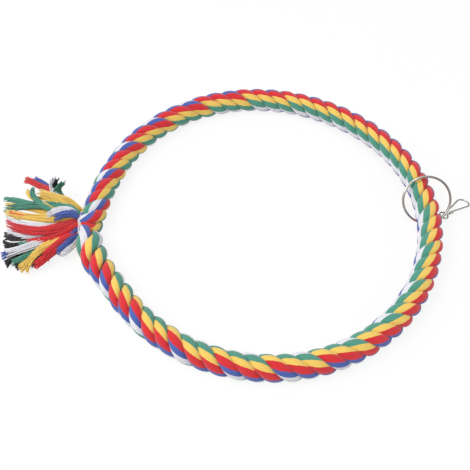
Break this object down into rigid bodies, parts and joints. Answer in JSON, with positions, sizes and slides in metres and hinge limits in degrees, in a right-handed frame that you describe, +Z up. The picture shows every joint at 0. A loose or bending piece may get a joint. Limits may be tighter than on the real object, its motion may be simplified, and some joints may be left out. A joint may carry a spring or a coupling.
{
  "type": "rope ring bird swing",
  "caption": "Hoop of laid multicoloured cotton rope, its ends whipped into a tassel, with a steel split ring and a wire clip to hang it in a cage as a bird's swing and perch.",
  "frame": {"origin": "middle of the box round the whole swing, on the table that it lies on", "axes": "+X from the tassel to the split ring, +Z up from the table"},
  "size_m": [0.3418, 0.2488, 0.0317],
  "materials": {
    "blue_cotton": "soft matt cotton yarn",
    "red_cotton": "soft matt cotton yarn",
    "yellow_cotton": "soft matt cotton yarn",
    "green_cotton": "soft matt cotton yarn",
    "white_cotton": "soft matt cotton yarn",
    "steel": "bright nickel plate"
  },
  "bodies": {
    "hoop": {"rope_strand_1": "red_cotton", "rope_strand_2": "yellow_cotton", "rope_strand_3": "green_cotton", "whipping_thread": "white_cotton", "tassel_1_blue": "blue_cotton", "tassel_1_red": "red_cotton", "tassel_1_yellow": "yellow_cotton", "tassel_1_green": "green_cotton", "tassel_1_white": "white_cotton", "tassel_2_blue": "blue_cotton", "tassel_2_red": "red_cotton", "tassel_2_yellow": "yellow_cotton", "tassel_2_green": "green_cotton", "tassel_2_white": "white_cotton", "tassel_3_blue": "blue_cotton", "tassel_3_red": "red_cotton", "tassel_3_yellow": "yellow_cotton", "tassel_3_green": "green_cotton", "tassel_3_white": "white_cotton", "tassel_4_blue": "blue_cotton", "tassel_4_red": "red_cotton", "tassel_4_yellow": "yellow_cotton", "tassel_4_green": "green_cotton", "tassel_4_white": "white_cotton", "tassel_5_blue": "blue_cotton", "tassel_5_red": "red_cotton", "tassel_5_yellow": "yellow_cotton", "tassel_5_green": "green_cotton", "tassel_5_white": "white_cotton", "tassel_6_blue": "blue_cotton", "tassel_6_red": "red_cotton", "tassel_6_yellow": "yellow_cotton", "tassel_6_green": "green_cotton", "tassel_6_white": "white_cotton"},
    "split_ring": {"split_ring": "steel"},
    "clip": {"wire_clip": "steel"}
  },
  "joints": [
    {"name": "split_ring_turn", "type": "hinge", "parent": "hoop", "child": "split_ring", "pos_m": [0.13308, 0.00491, 0.01251], "axis": [-0.0419, 0.9991, 0], "continuous": true},
    {"name": "clip_swing", "type": "hinge", "parent": "split_ring", "child": "clip", "pos_m": [0.14665, -0.00449, 0.00701], "axis": [0.6736, 0.4501, 0.5862], "range_deg": [-180, 90]}
  ]
}
